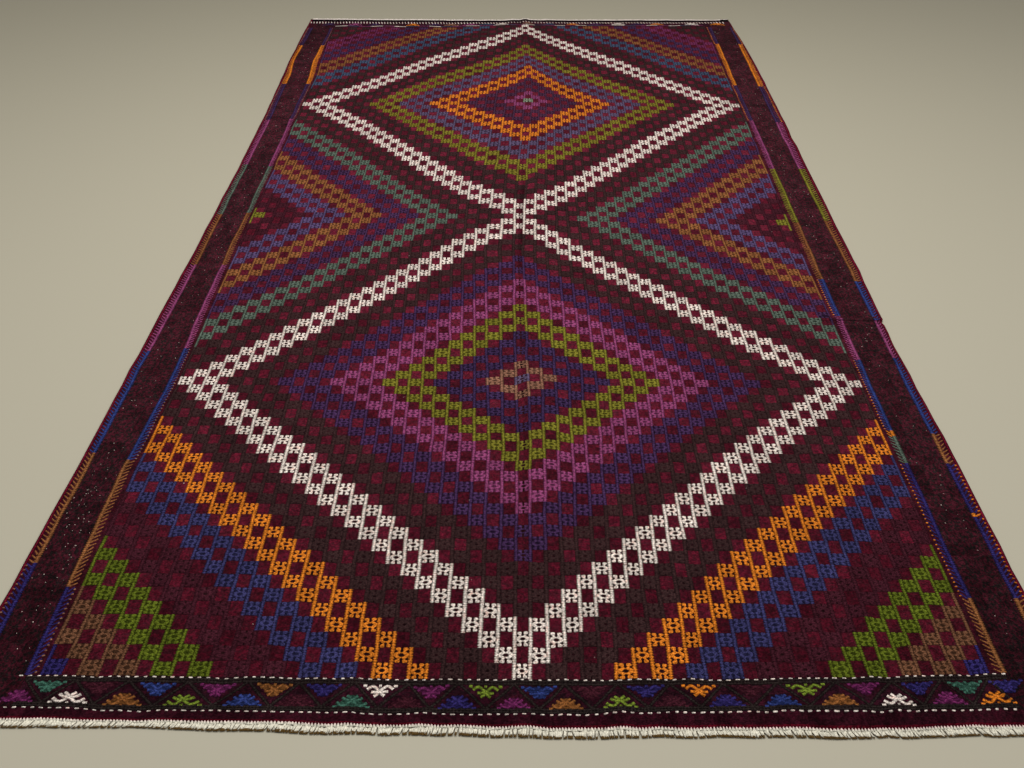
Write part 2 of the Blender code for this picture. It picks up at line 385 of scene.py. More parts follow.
# %% Yarns of the four side lines
TO_END = 3999                     # past the far end
LINE_YARNS = {
    # line: measured y where each yarn ends, and the yarn
    "outer left": (
        (320, "violet"), (600, "amber"), (945, "bright_blue"), (1310, "magenta"), (1580, "ochre"),
        (1890, "teal"), (2230, "magenta"), (2545, "navy"), (2945, "orange"), (TO_END, "navy"),
    ),
    "inner left": (
        (270, "violet"), (585, "amber"), (950, "bright_blue"), (1310, "magenta"), (1590, "ochre"),
        (1875, "teal"), (2240, "magenta"), (2545, "navy"), (2950, "orange"), (TO_END, "navy"),
    ),
    "inner right": (
        (270, "amber"), (595, "violet"), (677, "teal"), (695, "orange"), (930, "bright_blue"),
        (1110, "magenta"), (1265, "bright_blue"), (1565, "ochre"), (1895, "lime"),
        (2250, "magenta"), (2570, "navy"), (3005, "orange"), (TO_END, "navy"),
    ),
    "outer right": (
        (272, "amber"), (453, "violet"), (465, "orange"), (595, "violet"), (685, "amber"),
        (945, "bright_blue"), (1085, "magenta"), (1255, "bright_blue"), (1570, "ochre"),
        (1890, "lime"), (2245, "magenta"), (2555, "navy"), (3005, "orange"), (TO_END, "navy"),
    ),
}
LINE_PLACES = {
    # plan x, and the side that its ticks stand on
    "outer left": (-OUTER_LINE, -1), "inner left": (-INNER_LINE, 1),
    "inner right": (INNER_LINE, -1), "outer right": (OUTER_LINE, 1),
}
print({name: len(yarns_along) for name, yarns_along in LINE_YARNS.items()}, "lengths of yarn")

# %% Lines, ticks and dots
TICK_PITCH = 10.3
TICK_REACH = 8.8                  # from the middle of the line to the middle of a tick
DOT_REACH = 13.4


def measured_y(x, y):
    """Measured y of a plan place."""
    return (lay([(x, y, 0)])[0][1] - SHIFT[1]) / MM


lines, ticks, dots = defaultdict(list), defaultdict(list), defaultdict(list)
for name, (x, side) in LINE_PLACES.items():
    for step in range(int(FIELD_END / TICK_PITCH)):
        low, high = step * TICK_PITCH, (step + 1) * TICK_PITCH
        middle = (low + high) / 2
        yarn = next(yarn for last, yarn in LINE_YARNS[name] if measured_y(x, low) < last)
        if lines[yarn] and lines[yarn][-1][-1] == (x, low):
            lines[yarn][-1].append((x, high))
        else:
            lines[yarn].append([(x, low), (x, high)])
        ticks[yarn, side].append((x + side * TICK_REACH, middle))
        if yarn in ("navy", "violet") or (yarn, abs(x)) == ("bright_blue", INNER_LINE):
            dots["orange" if x > 0 else "tan"].append((x + side * DOT_REACH, middle))
print(sum(map(len, ticks.values())), "ticks and", sum(map(len, dots.values())), "dots on the lines")

# %% [markdown]
# ## Geometry Nodes: small machines that repeat
# Thousands of wraps and cells can't be modelled one by one, so node trees repeat them. The first
# wraps a yarn around a path: it turns edges into curves, samples them at the pitch of the wraps,
# makes every second sample a little thinner and sweeps a low arch along them. The second sets a
# motif on every point of a mesh. A third tree hangs the fringes, further down. All three end in
# real geometry of one material, so their result can be kept as a plain mesh.

# %% Helpers for building node trees
def new_tree(name, inputs):
    """A geometry node tree, the sockets that it is given and the sockets of its result."""
    tree = bpy.data.node_groups.new(name, "GeometryNodeTree")
    for way in ("INPUT", "OUTPUT"):
        tree.interface.new_socket("Geometry", in_out=way, socket_type="NodeSocketGeometry")
    for title, (kind, value) in inputs.items():
        socket = tree.interface.new_socket(title, in_out="INPUT", socket_type="NodeSocket" + kind)
        if value is not None:
            socket.default_value = value
    return tree, tree.nodes.new("NodeGroupInput").outputs, tree.nodes.new("NodeGroupOutput").inputs


def add(tree, kind, links=(), **settings):
    """A node with its settings, and with (input, socket or value) pairs filled in."""
    node = tree.nodes.new(kind)
    for setting, value in settings.items():
        setattr(node, setting, value)
    for socket, source in links:
        if isinstance(source, bpy.types.NodeSocket):
            tree.links.new(source, node.inputs[socket])
        else:
            node.inputs[socket].default_value = source
    return node


def reckon(tree, operation, first, second=0.0):
    """The result of one sum."""
    return add(tree, "ShaderNodeMath", [(0, first), (1, second)], operation=operation).outputs[0]


def vector(tree, **axes):
    """A vector with the named axes filled in."""
    return add(tree, "ShaderNodeCombineXYZ", axes.items()).outputs[0]


def random_value(tree, low, high, seed):
    """A random number for each point."""
    return add(tree, "FunctionNodeRandomValue", [(2, low), (3, high), ("Seed", seed)]).outputs[1]


print("helpers:", [helper.__name__ for helper in (new_tree, add, reckon, vector, random_value)])

# %% Ending and running a tree
def end_tree(tree, geometry, given, result):
    """End a tree in real geometry of the given yarn."""
    real = add(tree, "GeometryNodeRealizeInstances", [("Geometry", geometry)])
    dyed = add(tree, "GeometryNodeSetMaterial", [
        ("Geometry", real.outputs[0]), ("Material", given["Yarn"])])
    tree.links.new(dyed.outputs[0], result["Geometry"])
    print(tree.name + ":", len(tree.nodes), "nodes")


def placed_object(name, data):
    """A new object in the scene, at the origin."""
    placed = bpy.data.objects.new(name, data)
    bpy.context.scene.collection.objects.link(placed)
    return placed


def run_tree(tree, mesh, **values):
    """Put a mesh through a tree and return the result as a plain mesh."""
    holder = placed_object(tree.name, mesh)
    modifier = holder.modifiers.new(tree.name, "NODES")
    modifier.node_group = tree
    for item in tree.interface.items_tree:
        if item.in_out == "INPUT" and item.name in values:
            modifier[item.identifier] = values[item.name]
    evaluated = holder.evaluated_get(bpy.context.evaluated_depsgraph_get())
    result = bpy.data.meshes.new_from_object(evaluated)
    bpy.data.objects.remove(holder)
    return result


print("helpers:", [helper.__name__ for helper in (end_tree, placed_object, run_tree)])

# %% The wrapping tree
PATTERN_HEIGHT = 0.9
wrap_tree, given, result = new_tree("Wrap yarn around paths", {
    "Width": ("Float", 6.8), "Height": ("Float", PATTERN_HEIGHT), "Pitch": ("Float", 4.9),
    "Depth": ("Float", 0.1), "Yarn": ("Material", None),
})
left = vector(wrap_tree, X=reckon(wrap_tree, "MULTIPLY", given["Width"], -0.5))
crown = vector(wrap_tree, Y=reckon(wrap_tree, "MULTIPLY", given["Height"], -1.0))
right = vector(wrap_tree, X=reckon(wrap_tree, "MULTIPLY", given["Width"], 0.5))
arch = add(wrap_tree, "GeometryNodeCurveArc", [
    ("Resolution", 3), ("Start", left), ("Middle", crown), ("End", right)], mode="POINTS")
paths = add(wrap_tree, "GeometryNodeMeshToCurve", [("Mesh", given["Geometry"])])
half_pitch = reckon(wrap_tree, "MULTIPLY", given["Pitch"], 0.5)
sampled = add(wrap_tree, "GeometryNodeResampleCurve", [
    ("Curve", paths.outputs[0]), ("Length", half_pitch)], mode="LENGTH")
upright = add(wrap_tree, "GeometryNodeSetCurveNormal", [("Curve", sampled.outputs[0])], mode="Z_UP")
odd = reckon(wrap_tree, "MODULO", add(wrap_tree, "GeometryNodeInputIndex").outputs[0], 2.0)
notch = reckon(wrap_tree, "MULTIPLY", odd, given["Depth"])
swept = add(wrap_tree, "GeometryNodeCurveToMesh", [
    ("Curve", upright.outputs[0]), ("Profile Curve", arch.outputs["Curve"]),
    ("Scale", reckon(wrap_tree, "SUBTRACT", 1.0, notch))])
end_tree(wrap_tree, swept.outputs[0], given, result)

# %% The motif tree
motif_tree, given, result = new_tree("Set a motif on points", {
    "Motif": ("Object", None), "Tilt": ("Float", 0.03), "Wander": ("Float", 0.05),
    "Seed": ("Int", 1), "Yarn": ("Material", None),
})
info = add(motif_tree, "GeometryNodeObjectInfo", [("Object", given["Motif"])])
tilt_low = reckon(motif_tree, "MULTIPLY", given["Tilt"], -1.0)
tilt = random_value(motif_tree, tilt_low, given["Tilt"], given["Seed"])
small = reckon(motif_tree, "SUBTRACT", 1.0, given["Wander"])
large = reckon(motif_tree, "ADD", 1.0, given["Wander"])
size = add(motif_tree, "FunctionNodeRandomValue", [
    (0, vector(motif_tree, X=small, Y=small, Z=small)),
    (1, vector(motif_tree, X=large, Y=large, Z=large)), ("Seed", given["Seed"])],
    data_type="FLOAT_VECTOR")
placed = add(motif_tree, "GeometryNodeInstanceOnPoints", [
    ("Points", given["Geometry"]), ("Instance", info.outputs["Geometry"]),
    ("Rotation", vector(motif_tree, Z=tilt)), ("Scale", size.outputs[0])])
end_tree(motif_tree, placed.outputs[0], given, result)

# %% [markdown]
# ## Motifs
# On the real rug every motif is a few turns of thick yarn over the flat ground. Each could be a
# bundle of swept strands, but thousands of them would be far too heavy. So a motif is a low patch
# or a few low strokes, and the material adds the single turns. A patch is drawn as an outline and
# gets sloping sides from an inset. A stroke is a path that goes through the wrapping tree. Both
# are modelled around their own middle, and their feet are on z = 0.

# %% Helpers for patches
def mirrored(quarter):
    """A closed outline from the points of its upper right quarter, top first."""
    right = quarter + [(x, -y) for x, y in reversed(quarter)]
    outline = right + [(-x, y) for x, y in reversed(right)]
    return [point for place, point in enumerate(outline) if point != outline[place - 1]]


def patch(name, outlines, height, slope):
    """A raised flat patch: a filled outline, with holes, whose rim slopes down to the cloth."""
    bm = bmesh.new()
    for outline in outlines:
        ring = [bm.verts.new((x, y, 0)) for x, y in outline]
        for place, vert in enumerate(ring):
            bm.edges.new((ring[place - 1], vert))
    bmesh.ops.triangle_fill(bm, use_beauty=True, edges=bm.edges[:], normal=(0, 0, 1))
    bmesh.ops.inset_region(
        bm, faces=bm.faces[:], thickness=slope, use_boundary=True, use_even_offset=True)
    for vert in bm.verts:
        vert.co.z = 0.0 if vert.is_boundary else height
    bmesh.ops.recalc_face_normals(bm, faces=bm.faces)
    if sum(face.normal.z for face in bm.faces) < 0:
        bmesh.ops.reverse_faces(bm, faces=bm.faces)
    mesh = bpy.data.meshes.new(name)
    bm.to_mesh(mesh)
    bm.free()
    return bpy.data.objects.new(name, mesh)


print("a quarter of three points makes", len(mirrored([(0, 2), (1, 1), (2, 0)])), "points")

# %% Cells, ticks and dashes, in millimetres around their middle
OPEN_CELL = [(0, 5.4), (2.6, 7.4), (1.5, 9.6), (1.5, 13.2), (3.0, 14.6), (7.4, 14.6), (9.3, 12.8),
             (9.0, 9.8), (5.2, 7.2), (10.4, 3.0), (10.6, 0.9)]
DENSE_CELL = [(0, 9.4), (0.9, 10.2), (0.9, 13.6), (2.4, 14.6), (8.4, 14.6), (9.8, 13.2), (9.6, 9.4),
              (6.6, 7.4), (10.4, 5.2), (10.6, 0.9)]
CELL_FILLING = [(-10.2, -14.2), (10.2, -14.2), (10.2, 14.2), (-10.2, 14.2)]
LENS = [(-1, 0), (-0.35, 1), (0.35, 1), (1, 0), (0.35, -1), (-0.35, -1)]
TICK = [(-6.2, -6.0), (-3.8, -6.2), (4.4, 1.6), (5.4, 3.8), (3.6, 4.8), (-6.2, -2.8)]
DOT = [(-2.6, -0.9), (-1.2, -1.7), (1.6, -1.5), (2.7, -0.2), (1.4, 1.6), (-1.6, 1.4)]
DASH = [(-3.3, -0.7), (-2.3, -1.4), (2.2, -1.3), (3.3, -0.4), (2.8, 1.2), (-2.6, 1.3)]
SLANT = [(0.5, -8), (3, -7), (2.5, -2), (-0.5, 8), (-3, 7), (-2.5, 2)]


def lens_hole(half_width, half_height):
    """The small hole in the middle of a cell."""
    return [(x * half_width, y * half_height) for x, y in LENS]


open_cell = patch("open_cell", [mirrored(OPEN_CELL), lens_hole(5.0, 2.9)], PATTERN_HEIGHT, 0.8)
dense_cell = patch("dense_cell", [mirrored(DENSE_CELL), lens_hole(2.9, 2.0)], PATTERN_HEIGHT, 0.8)
# A low patch of the cell's yarn under its strokes, for lower turns; the painted shade at the foot of a
# stitch makes it dark between the strokes.
cell_filling = patch("cell_filling", [CELL_FILLING], 0.21, 0.6)
tick_right = patch("tick_right", [TICK], PATTERN_HEIGHT, 0.9)
tick_left = patch("tick_left", [[(-x, y) for x, y in TICK]], PATTERN_HEIGHT, 0.9)
dot = patch("dot", [DOT], 0.8, 0.6)
dash = patch("dash", [DASH], PATTERN_HEIGHT, 0.5)
slant = patch("slanted_dash", [SLANT], 0.8, 0.7)
print("cell motifs:", len(open_cell.data.polygons), "and", len(dense_cell.data.polygons), "faces")

# %% Trees and birds from strokes
TREE_STROKES = [
    [(0.0, 1.0), (3.5, 5.5), (7.5, 9.0)],
    [(1.0, 1.5), (7.0, 1.0), (11.0, 3.0), (14.0, 5.5)],
    [(0.5, 0.5), (5.0, -4.0), (9.5, -8.0), (14.5, -7.5), (21.0, -2.0)],
    [(20.0, -9.5), (26.0, -9.5)],
    [(-2.0, -9.5), (2.0, -9.5)],
]
BIRD_STROKES = [
    [(0.0, 0.0), (3.5, -5.5), (8.0, -8.5)],
    [(1.0, 0.5), (7.0, -1.5), (13.0, -1.0)],
    [(0.5, 1.0), (6.0, 5.5), (10.0, 9.0), (14.0, 8.5), (20.0, 3.5)],
    [(20.5, 9.5), (26.0, 9.8)],
    [(-2.0, 9.5), (2.0, 9.5)],
]
STROKE_WIDTH = 6.8
# Low patches of the same yarn under trees and birds; the painted shade at the foot of a stitch makes
# them dark between the strokes.
FILLING = [(-24, -10), (24, -10), (20, -4), (3, 11), (-3, 11), (-20, -4)]
FILLING_HEIGHT, FILLING_SLOPE = 0.3, 1.5


def path_mesh(paths):
    """A mesh of edges that follows each path of plan points."""
    places, edges = [], []
    for path in paths:
        first = len(places)
        places += [(point[0], point[1], 0) for point in path]
        edges += [(first + step, first + step + 1) for step in range(len(path) - 1)]
    mesh = bpy.data.meshes.new("paths")
    mesh.from_pydata(places, edges, [])
    return mesh


def stroke_motif(name, strokes):
    """A motif of wrapped strokes and their mirror images."""
    both = strokes + [[(-x, y) for x, y in stroke] for stroke in strokes]
    mesh = run_tree(wrap_tree, path_mesh(both), Width=STROKE_WIDTH)
    mesh.materials.clear()
    return bpy.data.objects.new(name, mesh)


tree_motif = stroke_motif("tree", TREE_STROKES)
bird_motif = stroke_motif("bird", BIRD_STROKES)
tree_filling = patch("tree_filling", [FILLING], FILLING_HEIGHT, FILLING_SLOPE)
bird_filling = patch("bird_filling", [[(x, -y) for x, y in FILLING]], FILLING_HEIGHT, FILLING_SLOPE)
print("tree and bird:", len(tree_motif.data.polygons), "and", len(bird_motif.data.polygons), "faces")

# %% [markdown]
# ## The near end band
# Between the field and the plain strip lies a narrow dark band, worked in brighter yarns than the
# field. A zigzag divides it, a bird hangs in every downward pocket and a small tree stands in
# every upward one, and a row of white dashes runs along both of its sides. Even spacing would be
# simpler, but the weaver's isn't even, so the motifs stand at measured places. For that we need a
# function that finds the plan place of a measured x.

# %% Places in the end bands
NEAR_BAND_Y = 75                  # measured y of the band's middle
BIRD_LEVEL, TREE_LEVEL = 0.62, 0.33


def plan_x(measured, y=NEAR_BAND_Y):
    """Plan x of a measured x on the rug."""
    return float(np.interp(measured, lines_through(y), ACROSS_PLACES))


def band_y(share):
    """Plan y at a share of the near band's height, from its lower dashes to its upper ones."""
    return NEAR_DASHES * (1 - share)


BIRDS = (
    # measured x, yarn
    (-675, "sea_green"), (-600, "maroon"), (-515, "bright_blue"), (-428, "bright_magenta"),
    (-345, "copper"), (-272, "violet"), (-190, "ivory"), (-115, "bright_magenta"),
    (-37, "bright_green"), (42, "bright_blue"), (118, "maroon"), (198, "violet"), (275, "orange"),
    (348, "maroon"), (433, "bright_green"), (517, "bright_magenta"), (597, "violet"),
    (668, "sea_green"), (728, "violet"),
)
TREES = (
    (-712, "bright_magenta"), (-637, "ivory"), (-558, "copper"), (-472, "bright_green"),
    (-385, "bright_blue"), (-310, "maroon"), (-228, "sea_green"), (-150, "maroon"), (-77, "violet"),
    (5, "bright_magenta"), (80, "copper"), (158, "bright_green"), (233, "maroon"), (312, "violet"),
    (392, "bright_blue"), (477, "copper"), (560, "ivory"), (635, "bright_magenta"), (705, "orange"),
)
FILLED_YARNS = ("bright_magenta", "bright_blue", "violet", "maroon", "sea_green", "copper")
birds, trees = defaultdict(list), defaultdict(list)
for x, yarn in BIRDS:
    birds[yarn].append((plan_x(x), band_y(BIRD_LEVEL)))
for x, yarn in TREES:
    trees[yarn].append((plan_x(x), band_y(TREE_LEVEL)))
print(sum(map(len, birds.values())), "birds and", sum(map(len, trees.values())), "trees")

# %% Dashes and dark lines of the near band
DASH_ROWS = (
    # plan y, measured x of the first and of the last dash, pitch
    (NEAR_DASHES, -735, 735, 12.8), (row_y(0) - 1.5, -722, 735, 13.2),
)
ZIGZAG_LOW, ZIGZAG_HIGH = 0.16, 0.86
DARK_LEVELS = (0.07, 0.14, 0.86, 0.94)
dashes = defaultdict(list)
for y, first, last, pitch in DASH_ROWS:
    for step in range(int((last - first) / pitch) + 1):
        dashes["ivory"].append((plan_x(first + step * pitch), y))

zigzag = [(plan_x(x), band_y(ZIGZAG_LOW)) for x, _ in BIRDS]
zigzag += [(plan_x(x), band_y(ZIGZAG_HIGH)) for x, _ in TREES]
dark_lines = [sorted(zigzag)]
for level in DARK_LEVELS:
    dark_lines.append([(x, band_y(level)) for x in np.linspace(-INNER_LINE, INNER_LINE, 40)])
thin_lines = defaultdict(list, black_brown=dark_lines)
print(len(dashes["ivory"]), "white dashes")

# %% [markdown]
# ## The far end band
# The far end repeats the near one in a narrower strip. From the camera it is squeezed to a few
# pixels, so we read it as a thin wavy line, small motifs of a few yarns, slanted white dashes
# and a plain dark strip. Its motifs could be shapes of their own, but the near band's trees do
# as well where so little shows.

# %% Places in the far band
FAR_BAND = FAR_STRIP - FIELD_END
FAR_MOTIF_Y, SLANT_Y = 3230, 3240       # measured y of the two rows
FAR_MOTIF_LEVEL, SLANT_LEVEL = 0.52, 0.80
FAR_MOTIFS = (
    (-740, "navy"), (-640, "magenta"), (-565, "navy"), (-490, "soot"), (-415, "orange"),
    (-330, "navy"), (-265, "tan"), (-190, "magenta"), (-125, "sea_blue"), (-65, "ivory"),
    (35, "tan"), (120, "sea_blue"), (210, "orange"), (300, "indigo"), (390, "ivory"),
    (465, "navy"), (540, "orange"), (610, "maroon"), (680, "ivory"), (780, "orange"),
)
FIRST_SLANT, SLANT_PITCH, SLANTED_WIDTH = -818, 11.6, 1640


def far_y(share):
    """Plan y at a share of the far band's height."""
    return FIELD_END + FAR_BAND * share


far_motifs = defaultdict(list)
for x, yarn in FAR_MOTIFS:
    far_motifs[yarn].append((plan_x(x, FAR_MOTIF_Y), far_y(FAR_MOTIF_LEVEL)))
slants = [(plan_x(FIRST_SLANT + step * SLANT_PITCH, SLANT_Y), far_y(SLANT_LEVEL))
          for step in range(int(SLANTED_WIDTH / SLANT_PITCH))]
print(len(FAR_MOTIFS), "motifs and", len(slants), "slanted dashes at the far end")

# %% The far band's wavy line
WAVY_YARNS = ("ivory", "sea_blue", "magenta", "ivory", "magenta", "ivory", "sea_blue", "magenta")
WAVY_PIECES, WAVY_POINTS = 32, 6
WAVY_LEVEL, WAVE_HEIGHT, WAVES = 0.22, 0.05, 60
for piece in range(WAVY_PIECES):
    path = []
    for share in np.linspace(piece, piece + 1, WAVY_POINTS) / WAVY_PIECES:
        level = WAVY_LEVEL + WAVE_HEIGHT * math.sin(share * WAVES)
        path.append((-HALF_FIELD + 2 * HALF_FIELD * share, far_y(level)))
    thin_lines[WAVY_YARNS[piece % len(WAVY_YARNS)]].append(path)
print("thin lines:", {yarn: len(paths) for yarn, paths in thin_lines.items()})

# %% [markdown]
# ## Laying meshes
# Hand-dyed yarn changes a little from cell to cell, and a wrap is darkest where it dips into the
# cloth; that darkening is painted shade. Noise on the object's own coordinates knows nothing of
# cells or stitches. So before a plan mesh is laid we give it three attributes that the materials
# read: the place on the plan, how high a point stands on its stitch, which sets the painted shade,
# and the tone of its cell.

# %% Attributes and laying
tones = chance.uniform(0, 1, shake[0].shape)


def cell_tones(x, y):
    """The tone of the plan cell around each place."""
    columns_at = np.floor(x / CORD_PITCH + COLUMNS / 2).astype(int) + MARGIN
    rows_at = np.floor(y / ROW_PITCH).astype(int) + MARGIN
    return tones[np.clip(rows_at, 0, len(tones) - 1), np.clip(columns_at, 0, len(tones[0]) - 1)]


def write_attribute(mesh, name, kind, domain, values):
    """One attribute of a mesh from an array."""
    attribute = mesh.attributes.new(name, kind, domain)
    field = "vector" if kind == "FLOAT_VECTOR" else "value"
    attribute.data.foreach_set(field, np.asarray(values, np.float32).ravel())


def lay_mesh(mesh, lift, crown):
    """Give a plan mesh its attributes, and move its points to where they lie in the frame."""
    points = np.empty(len(mesh.vertices) * 3, np.float32)
    mesh.vertices.foreach_get("co", points)
    points = points.reshape(-1, 3).astype(float)
    write_attribute(mesh, "plan", "FLOAT_VECTOR", "POINT", points)
    # how high a point stands on its stitch; the materials darken low points as painted shade
    write_attribute(mesh, "rise", "FLOAT", "POINT", points[:, 2] / crown)
    centres = np.array([tuple(face.center) for face in mesh.polygons])
    write_attribute(mesh, "tone", "FLOAT", "FACE", cell_tones(centres[:, 0], centres[:, 1]))
    points[:, 2] += lift
    mesh.vertices.foreach_set("co", lay(points).astype(np.float32).ravel())
    mesh.update()


print("tones:", tones.shape)

# %% [markdown]
# ## Yarn and cloth materials
# All the pattern yarns are dyed wool, so one function makes every yarn. A photograph of wool could
# give the fibres, but noise does as well and needs no picture. The dye's colour is multiplied by
# shades: for the cell's tone, for the foot of each stitch, for fibres, turns and wide patches, and
# for the shadow of the two folds. Colours are written as they look on screen, 0 to 255, and are
# turned into Blender's linear values.

# %% Colours as they look on screen
YARN_COLOURS = {
    "ivory": (221, 207, 194), "soot": (53, 34, 34), "maroon": (62, 25, 34),
    "orange": (208, 117, 36), "amber": (136, 86, 50), "ochre": (128, 79, 46), "tan": (138, 96, 76),
    "brown": (107, 71, 50), "leaf_green": (88, 98, 27), "lime": (117, 111, 38),
    "olive": (119, 108, 38), "sage": (130, 140, 118), "teal": (86, 98, 86),
    "sea_blue": (63, 73, 95), "slate": (87, 73, 98), "periwinkle": (84, 68, 102),
    "royal_blue": (56, 54, 93), "blue_violet": (66, 42, 76), "navy": (59, 41, 74),
    "indigo": (68, 43, 74), "aubergine": (71, 41, 62), "magenta": (135, 63, 102),
    "plum": (106, 42, 76), "bright_blue": (46, 58, 112), "bright_green": (108, 124, 42),
    "bright_magenta": (100, 36, 78), "violet": (47, 39, 92), "copper": (132, 82, 42),
    "sea_green": (58, 94, 79), "black_brown": (40, 32, 30),
}


def linear(colour):
    """A screen colour, 0 to 255, as linear values for a shader."""
    shares = [value / 255 for value in colour]
    return tuple(s / 12.92 if s <= 0.04045 else ((s + 0.055) / 1.055) ** 2.4 for s in shares)


print(len(YARN_COLOURS), "yarn colours")

# %% Helpers for reading places and noise
def new_material(name, roughness, shine=0.02):
    """A material whose plain values sit on the shader itself."""
    material = bpy.data.materials.new(name)
    material.use_nodes = True
    tree = material.node_tree
    shader = tree.nodes["Principled BSDF"]
    shader.inputs["Roughness"].default_value = roughness
    shader.inputs["Specular IOR Level"].default_value = shine
    return material, tree, shader


def attribute(tree, name, output):
    """The socket of one attribute of the mesh."""
    return add(tree, "ShaderNodeAttribute", attribute_name=name).outputs[output]


def along_axis(tree, place, axis):
    """How far a place lies along one axis."""
    return add(tree, "ShaderNodeSeparateXYZ", [("Vector", place)]).outputs[axis]


def grain(tree, place, size, detail=2.0):
    """Noise with a grain of this many millimetres across and along, from 0 to 1 around 0.5."""
    wide, long = size if isinstance(size, tuple) else (size, size)
    scaled = add(tree, "ShaderNodeVectorMath", [(0, place), (1, (1 / wide, 1 / long, 1.0))],
                 operation="MULTIPLY")
    noise = add(tree, "ShaderNodeTexNoise", [
        ("Vector", scaled.outputs[0]), ("Scale", 1.0), ("Detail", detail), ("Roughness", 0.6)])
    return noise.outputs["Fac"]


def ranged(tree, value, low, high, least, most):
    """A value from low..high mapped to least..most."""
    node = add(tree, "ShaderNodeMapRange", [
        ("Value", value), ("From Min", low), ("From Max", high), ("To Min", least), ("To Max", most)])
    return node.outputs[0]


def product(tree, values):
    """All values multiplied."""
    result = values[0]
    for value in values[1:]:
        result = reckon(tree, "MULTIPLY", result, value)
    return result


print("helpers:", [helper.__name__ for helper in (new_material, attribute, along_axis, grain, ranged)])

# %% Mixing and shading colours
def mixed(tree, share, first, second):
    """Two colours mixed by a share."""
    node = add(tree, "ShaderNodeMix", data_type="RGBA")
    for socket, source in ((0, share), (6, first), (7, second)):
        if isinstance(source, bpy.types.NodeSocket):
            tree.links.new(source, node.inputs[socket])
        else:
            node.inputs[socket].default_value = (*source, 1.0)
    return node.outputs[2]


def colour_shader(tree, shader, colour, shade):
    """Give a shader a colour made lighter or darker by a shade."""
    shaded = add(tree, "ShaderNodeVectorMath", [(0, colour), ("Scale", shade)], operation="SCALE")
    tree.links.new(shaded.outputs[0], shader.inputs["Base Color"])


def relief(tree, shader, height, distance):
    """A bump of this many metres."""
    bump = add(tree, "ShaderNodeBump", [("Strength", 0.7), ("Distance", distance), ("Height", height)])
    tree.links.new(bump.outputs[0], shader.inputs["Normal"])


print("ivory in linear values:", [round(value, 3) for value in linear(YARN_COLOURS["ivory"])])

# %% The shadow of the folds
CROSS_FOLD_ROW = 1050             # plan y of the fold across the right border


def fold_shade(tree, place):
    """Painted shadow along one flank of the long fold, and on the fold across the right border."""
    across_fold, along_fold = along_axis(tree, place, "X"), along_axis(tree, place, "Y")
    flank = product(tree, [
        ranged(tree, across_fold, -5.0, 7.0, 0.0, 1.0),
        ranged(tree, across_fold, 8.0, 9.5, 1.0, 0.0),
        ranged(tree, along_fold, 150.0, 250.0, 0.0, 1.0),
        ranged(tree, along_fold, 1700.0, 1850.0, 1.0, 0.0),
        ranged(tree, along_fold, 1150.0, 1450.0, 0.32, 0.62),
    ])
    cross = product(tree, [
        ranged(tree, along_fold, CROSS_FOLD_ROW - 4, CROSS_FOLD_ROW - 1, 0.0, 0.6),
        ranged(tree, along_fold, CROSS_FOLD_ROW, CROSS_FOLD_ROW + 2, 1.0, 0.0),
        ranged(tree, across_fold, CROSS_FOLD_START, CROSS_FOLD_START + CROSS_FOLD_FADE, 0.0, 1.0),
    ])
    return product(tree, [ranged(tree, dark, 0.0, 1.0, 1.0, 0.0) for dark in (flank, cross)])


print("the short fold crosses the border at", round(measured_y(OUTER_LINE, CROSS_FOLD_ROW)), "mm")

# %% The yarn material
WOOL_ROUGHNESS = 0.95
FIBRE_RELIEF = 0.0005             # metres
STAIN = (232, 184, 166)           # red dye that has run into the white yarn
DENSE_YARNS, OPEN_YARNS = ("soot", "maroon"), ("ivory", "orange")
# The foot of each stitch is darkened in the material: painted shade where the yarn dips into the
# cloth.
DENSE_FOOT, OPEN_FOOT = 0.4, 0.16       # how light the foot of a stitch is


def yarn_material(name, colour, foot, stain=None):
    """Wrapped wool yarn of one colour, with painted shade at the foot of each stitch."""
    material, tree, shader = new_material(name, WOOL_ROUGHNESS)
    place = attribute(tree, "plan", "Vector")
    fibres = grain(tree, place, 1.3)
    shade = product(tree, [
        ranged(tree, attribute(tree, "tone", "Fac"), 0.0, 1.0, 0.78, 1.03),         # the cell
        # painted shade at the foot of a stitch
        ranged(tree, attribute(tree, "rise", "Fac"), 0.14, 0.68, foot, 1.0),        # its foot
        ranged(tree, fibres, 0.36, 0.64, 0.60, 1.36),
        ranged(tree, grain(tree, place, (3.4, 2.0)), 0.42, 0.58, 0.52, 1.34),       # single turns
        ranged(tree, grain(tree, place, 70.0), 0.3, 0.7, 0.92, 1.06),               # wide patches
        fold_shade(tree, place),
    ])
    dyed = linear(colour)
    if stain:
        patches = ranged(tree, grain(tree, place, 9.0), 0.52, 0.72, 0.0, 0.75)
        dyed = mixed(tree, patches, dyed, linear(stain))
    colour_shader(tree, shader, dyed, shade)
    relief(tree, shader, fibres, FIBRE_RELIEF)
    return material


yarns = {}
for name, colour in YARN_COLOURS.items():
    foot = DENSE_FOOT if name in DENSE_YARNS else OPEN_FOOT
    yarns[name] = yarn_material(name + "_yarn", colour, foot, STAIN if name == "ivory" else None)
print(len(yarns), "yarn materials")

# %% [markdown]
# ## The ground cloth
# Under the pattern lies one dark red weave. It shows as plain squares between the worked cells
# and as narrow slits inside them, where little light gets in, so the slits get a much darker
# ground: painted shade. The border strips are mottled dark brown and red, and both ends finish in
# a plain strip. A material that asks where it is could tell all these apart, but one plain material
# for each zone is easier to read and to change, so the faces of one sheet are given different
# grounds. All of them are darkest at the near end and lightest three quarters of the way along,
# which is painted light, with a painted sheen where the ground is seen at a low angle.

# %% Ground materials
# Painted light: every ground is darkest at the near end, lightest three quarters of the way along and
# darker again near the far end, a painted sheen where it is seen at a low angle.
GROUND_PAINTED_LIGHT = (
    # plan y from and to, and how light the ground is at both
    (0.0, 500.0, 0.70, 1.05), (500.0, 2400.0, 1.08, 1.48), (2500.0, 3000.0, 1.0, 0.74),
)


